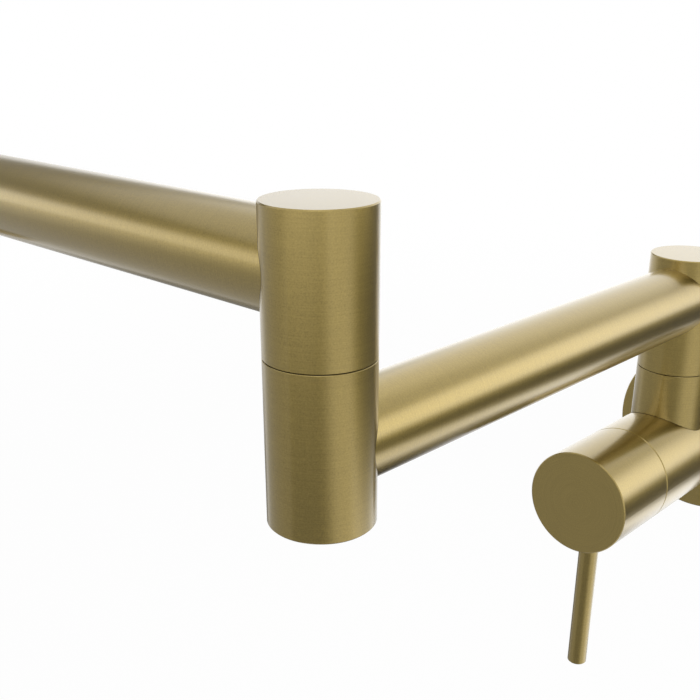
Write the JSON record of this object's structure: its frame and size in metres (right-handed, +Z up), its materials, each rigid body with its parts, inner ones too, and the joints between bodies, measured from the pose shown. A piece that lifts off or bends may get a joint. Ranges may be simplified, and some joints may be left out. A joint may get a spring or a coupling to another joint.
{
  "type": "kitchen faucet",
  "caption": "Wall-mounted folding pot filler faucet in brushed brass: round flange, lever valve at the wall, two swivelling arms, and an outlet valve with a downward spout.",
  "frame": {"origin": "centre of the wall connection: the inlet thread's axis where it leaves the wall face", "axes": "+Y into the wall along the inlet thread, +Z up, +X to the right for someone facing the wall"},
  "size_m": [0.3865, 0.334, 0.2484],
  "materials": {
    "brushed_brass": "fine brushed satin",
    "raw_brass": "machined",
    "stainless_steel": "plain",
    "rubber": "matte",
    "ceramic": "lapped ceramic",
    "polymer": "moulded"
  },
  "bodies": {
    "wall_valve": {"wall_plate": "stainless_steel", "wall_screws": "stainless_steel", "inlet_nipple": "raw_brass", "inlet_seal": "rubber", "body_lock_screws": "stainless_steel", "wall_flange": "brushed_brass", "flange_o_ring": "rubber", "valve_body": "brushed_brass", "swivel_neck": "brushed_brass", "column_spindle": "raw_brass", "column_o_rings": "rubber", "column_washer": "polymer", "wall_cartridge_body": "raw_brass", "wall_cartridge_seal": "rubber", "wall_fixed_disc": "ceramic", "wall_cartridge_o_ring": "rubber", "wall_cartridge_nut": "raw_brass"},
    "wall_handle": {"wall_moving_disc": "ceramic", "wall_cartridge_stem": "raw_brass", "wall_handle_cap": "brushed_brass", "wall_handle_lever": "brushed_brass", "wall_handle_screw": "stainless_steel"},
    "inner_arm": {"column_shell": "brushed_brass", "column_retaining_screws": "stainless_steel", "inner_arm_tube": "brushed_brass", "elbow_lower_shell": "brushed_brass", "elbow_spindle": "raw_brass", "elbow_o_rings": "rubber", "elbow_washer": "polymer"},
    "outer_arm": {"elbow_upper_shell": "brushed_brass", "elbow_retaining_screws": "stainless_steel", "outer_arm_tube": "brushed_brass", "outlet_valve_body": "brushed_brass", "outlet_cartridge_body": "raw_brass", "outlet_cartridge_seal": "rubber", "outlet_fixed_disc": "ceramic", "outlet_cartridge_o_ring": "rubber", "outlet_cartridge_nut": "raw_brass", "spout_tube": "brushed_brass", "aerator_housing": "brushed_brass", "aerator_insert": "polymer", "aerator_screen": "stainless_steel", "aerator_washer": "rubber"},
    "outlet_handle": {"outlet_moving_disc": "ceramic", "outlet_cartridge_stem": "raw_brass", "outlet_handle_cap": "brushed_brass", "outlet_handle_lever": "brushed_brass", "outlet_handle_screw": "stainless_steel"}
  },
  "joints": [
    {"name": "wall_swivel", "type": "hinge", "parent": "wall_valve", "child": "inner_arm", "pos_m": [0, -0.047, 0.0453], "axis": [0, 0, 1], "range_deg": [-90, 90]},
    {"name": "elbow_swivel", "type": "hinge", "parent": "inner_arm", "child": "outer_arm", "pos_m": [0, -0.288, 0.1087], "axis": [0, 0, 1], "range_deg": [-90, 270]},
    {"name": "wall_handle_turn", "type": "hinge", "parent": "wall_valve", "child": "wall_handle", "pos_m": [0, -0.047, 0], "axis": [0, -1, 0], "range_deg": [0, 90]},
    {"name": "outlet_handle_turn", "type": "hinge", "parent": "outer_arm", "child": "outlet_handle", "pos_m": [-0.28, -0.288, 0.1344], "axis": [-1, 0, 0], "range_deg": [0, 90]}
  ]
}
